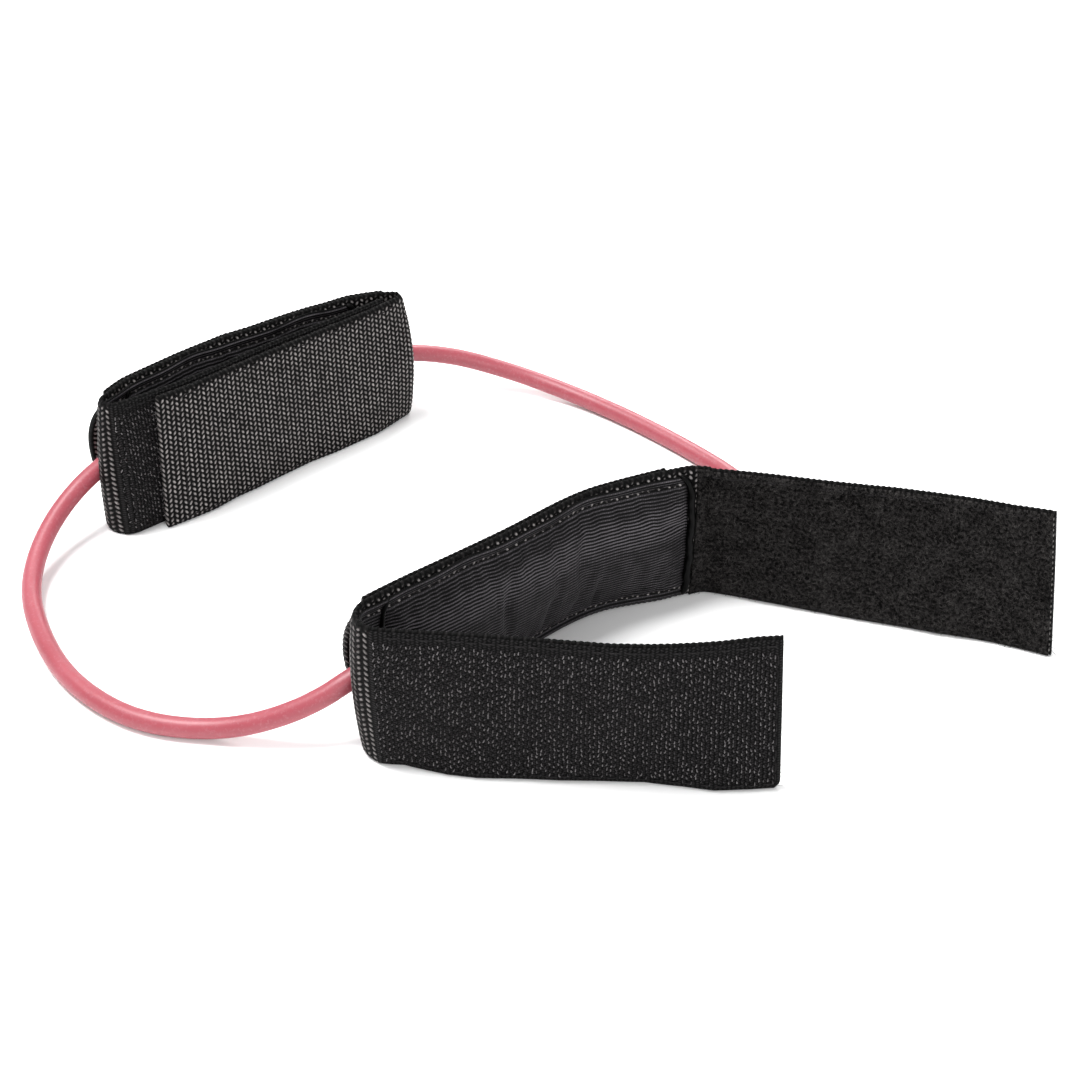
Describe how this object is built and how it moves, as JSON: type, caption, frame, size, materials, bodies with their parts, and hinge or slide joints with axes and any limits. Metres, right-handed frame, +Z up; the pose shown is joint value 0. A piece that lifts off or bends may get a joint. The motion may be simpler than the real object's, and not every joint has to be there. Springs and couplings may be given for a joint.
{
  "type": "resistance band",
  "caption": "Leg resistance band: two padded hook-and-loop ankle cuffs, one open and one closed, joined by a loop of rubber tube running through their sleeves.",
  "frame": {"origin": "bottom centre of the two cuffs' box, the tube left out, on the surface that the straps' edges stand on", "axes": "+X along the padded backs and the tube sleeves, +Y from the open cuff to the closed cuff, the way the band is pulled, +Z up"},
  "size_m": [0.2456, 0.2739, 0.05],
  "materials": {
    "webbing": "coarse woven polyester webbing",
    "hook_tape": "hook side of hook-and-loop tape",
    "loop_tape": "pile side of hook-and-loop tape",
    "lining": "satin ribbed knit",
    "foam": "soft foam sheet, hidden by the lining",
    "thread": "bonded sewing thread",
    "rubber_tube": "satin translucent latex, faintly dusted",
    "joiner": "moulded"
  },
  "bodies": {
    "open_cuff": {"open_cuff_back_webbing": "webbing", "open_cuff_tube_sleeve": "webbing", "open_cuff_foam_pad": "foam", "open_cuff_pad_cover": "lining", "open_cuff_pad_binding": "lining", "open_cuff_sleeve_stitching": "thread", "open_cuff_pad_stitching": "thread", "resistance_tube": "rubber_tube"},
    "open_cuff_tab": {"open_cuff_tab_fold": "webbing", "open_cuff_hook_tab": "webbing", "open_cuff_hook_tape": "hook_tape", "open_cuff_hook_stitching": "thread"},
    "open_cuff_flap": {"open_cuff_flap_fold": "webbing", "open_cuff_loop_flap": "webbing", "open_cuff_loop_tape": "loop_tape", "open_cuff_loop_stitching": "thread"},
    "closed_cuff": {"closed_cuff_back_webbing": "webbing", "closed_cuff_tube_sleeve": "webbing", "closed_cuff_foam_pad": "foam", "closed_cuff_pad_cover": "lining", "closed_cuff_pad_binding": "lining", "closed_cuff_sleeve_stitching": "thread", "closed_cuff_pad_stitching": "thread", "tube_joiner": "joiner"},
    "closed_cuff_tab": {"closed_cuff_tab_fold": "webbing", "closed_cuff_hook_tab": "webbing", "closed_cuff_hook_tape": "hook_tape", "closed_cuff_hook_stitching": "thread"},
    "closed_cuff_flap": {"closed_cuff_flap_fold": "webbing", "closed_cuff_loop_flap": "webbing", "closed_cuff_loop_tape": "loop_tape", "closed_cuff_loop_stitching": "thread"}
  },
  "joints": [
    {"name": "cuff_pull", "type": "slide", "parent": "open_cuff", "child": "closed_cuff", "axis": [0, 1, 0], "range_m": [0, 0.22], "stiffness_N_per_m": 60, "deforming": ["resistance_tube"]},
    {"name": "open_flap_fold", "type": "hinge", "parent": "open_cuff", "child": "open_cuff_flap", "pos_m": [0.0335, -0.0482, 0.025], "axis": [0, 0, 1], "range_deg": [-62, 34], "deforming": ["open_cuff_flap_fold"]},
    {"name": "open_tab_fold", "type": "hinge", "parent": "open_cuff", "child": "open_cuff_tab", "pos_m": [-0.087, -0.0387, 0.025], "axis": [0, 0, 1], "range_deg": [-20.4, 37.2], "deforming": ["open_cuff_tab_fold"]},
    {"name": "closed_flap_fold", "type": "hinge", "parent": "closed_cuff", "child": "closed_cuff_flap", "pos_m": [0.0375, 0.1145, 0.025], "axis": [0, 0, 1], "range_deg": [0, 95], "deforming": ["closed_cuff_flap_fold"]},
    {"name": "closed_tab_fold", "type": "hinge", "parent": "closed_cuff", "child": "closed_cuff_tab", "pos_m": [-0.0805, 0.1173, 0.025], "axis": [0, 0, 1], "range_deg": [-4.75, 0], "deforming": ["closed_cuff_tab_fold"]}
  ],
  "couplings": [
    {"joint": "open_tab_fold", "follows": "open_flap_fold", "ratio": -0.6},
    {"joint": "closed_tab_fold", "follows": "closed_flap_fold", "ratio": -0.05}
  ]
}
